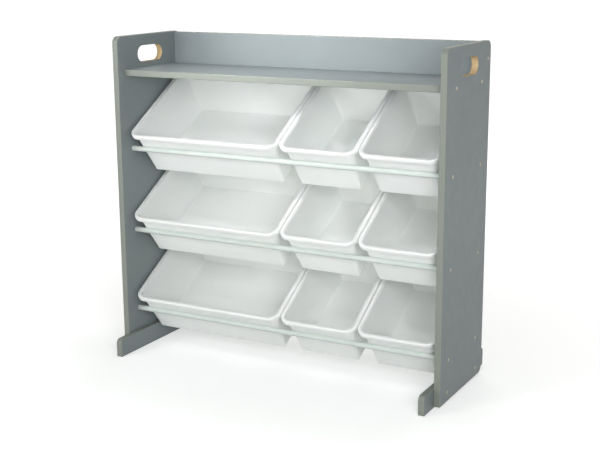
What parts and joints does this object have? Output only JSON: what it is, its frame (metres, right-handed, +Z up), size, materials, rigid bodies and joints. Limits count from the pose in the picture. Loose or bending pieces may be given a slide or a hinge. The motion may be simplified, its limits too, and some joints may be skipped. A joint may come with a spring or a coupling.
{
  "type": "toy storage organizer with bins",
  "caption": "Open-front children's storage unit: panels on long feet carry a top tray with hand slots and rods that hold tilted open plastic bins.",
  "frame": {"origin": "on the floor, under the middle of the unit", "axes": "+X along the rods to the right, +Y to the rear, +Z up"},
  "size_m": [0.857, 0.37, 0.7882],
  "materials": {
    "grey_paint": "satin paint on fibreboard",
    "bin_plastic": "satin moulded polypropylene",
    "rod_white": "white powder coat",
    "screw_zinc": "zinc plated",
    "insert_nylon": "moulded"
  },
  "bodies": {
    "frame": {"back_panel": "grey_paint", "front_rod_lower": "rod_white", "front_rod_middle": "rod_white", "front_rod_upper": "rod_white", "left_back_screw": "screw_zinc", "left_foot": "grey_paint", "left_foot_screws": "screw_zinc", "left_rod_inserts": "insert_nylon", "left_rod_screws": "screw_zinc", "left_shelf_screws": "screw_zinc", "left_side_panel": "grey_paint", "rear_rod_lower": "rod_white", "rear_rod_middle": "rod_white", "rear_rod_upper": "rod_white", "right_back_screw": "screw_zinc", "right_foot": "grey_paint", "right_foot_screws": "screw_zinc", "right_rod_inserts": "insert_nylon", "right_rod_screws": "screw_zinc", "right_shelf_screws": "screw_zinc", "right_side_panel": "grey_paint", "top_shelf": "grey_paint"},
    "lower_large_bin": {"lower_large_bin": "bin_plastic"},
    "lower_centre_bin": {"lower_centre_bin": "bin_plastic"},
    "lower_right_bin": {"lower_right_bin": "bin_plastic"},
    "middle_large_bin": {"middle_large_bin": "bin_plastic"},
    "middle_centre_bin": {"middle_centre_bin": "bin_plastic"},
    "middle_right_bin": {"middle_right_bin": "bin_plastic"},
    "upper_large_bin": {"upper_large_bin": "bin_plastic"},
    "upper_centre_bin": {"upper_centre_bin": "bin_plastic"},
    "upper_right_bin": {"upper_right_bin": "bin_plastic"}
  },
  "joints": [
    {"name": "lower_large_bin_tip", "type": "hinge", "parent": "frame", "child": "lower_large_bin", "pos_m": [-0.2013, 0.0846, 0.1013], "axis": [-1, 0, 0], "range_deg": [0, 30]},
    {"name": "lower_centre_bin_tip", "type": "hinge", "parent": "frame", "child": "lower_centre_bin", "pos_m": [0.1079, 0.0846, 0.1013], "axis": [-1, 0, 0], "range_deg": [0, 30]},
    {"name": "lower_right_bin_tip", "type": "hinge", "parent": "frame", "child": "lower_right_bin", "pos_m": [0.3092, 0.0846, 0.1013], "axis": [-1, 0, 0], "range_deg": [0, 30]},
    {"name": "middle_large_bin_tip", "type": "hinge", "parent": "frame", "child": "middle_large_bin", "pos_m": [-0.2013, 0.0846, 0.307], "axis": [-1, 0, 0], "range_deg": [0, 30]},
    {"name": "middle_centre_bin_tip", "type": "hinge", "parent": "frame", "child": "middle_centre_bin", "pos_m": [0.1079, 0.0846, 0.307], "axis": [-1, 0, 0], "range_deg": [0, 30]},
    {"name": "middle_right_bin_tip", "type": "hinge", "parent": "frame", "child": "middle_right_bin", "pos_m": [0.3092, 0.0846, 0.307], "axis": [-1, 0, 0], "range_deg": [0, 30]},
    {"name": "upper_large_bin_tip", "type": "hinge", "parent": "frame", "child": "upper_large_bin", "pos_m": [-0.2013, 0.0846, 0.5127], "axis": [-1, 0, 0], "range_deg": [0, 30]},
    {"name": "upper_centre_bin_tip", "type": "hinge", "parent": "frame", "child": "upper_centre_bin", "pos_m": [0.1079, 0.0846, 0.5127], "axis": [-1, 0, 0], "range_deg": [0, 30]},
    {"name": "upper_right_bin_tip", "type": "hinge", "parent": "frame", "child": "upper_right_bin", "pos_m": [0.3092, 0.0846, 0.5127], "axis": [-1, 0, 0], "range_deg": [0, 30]}
  ]
}
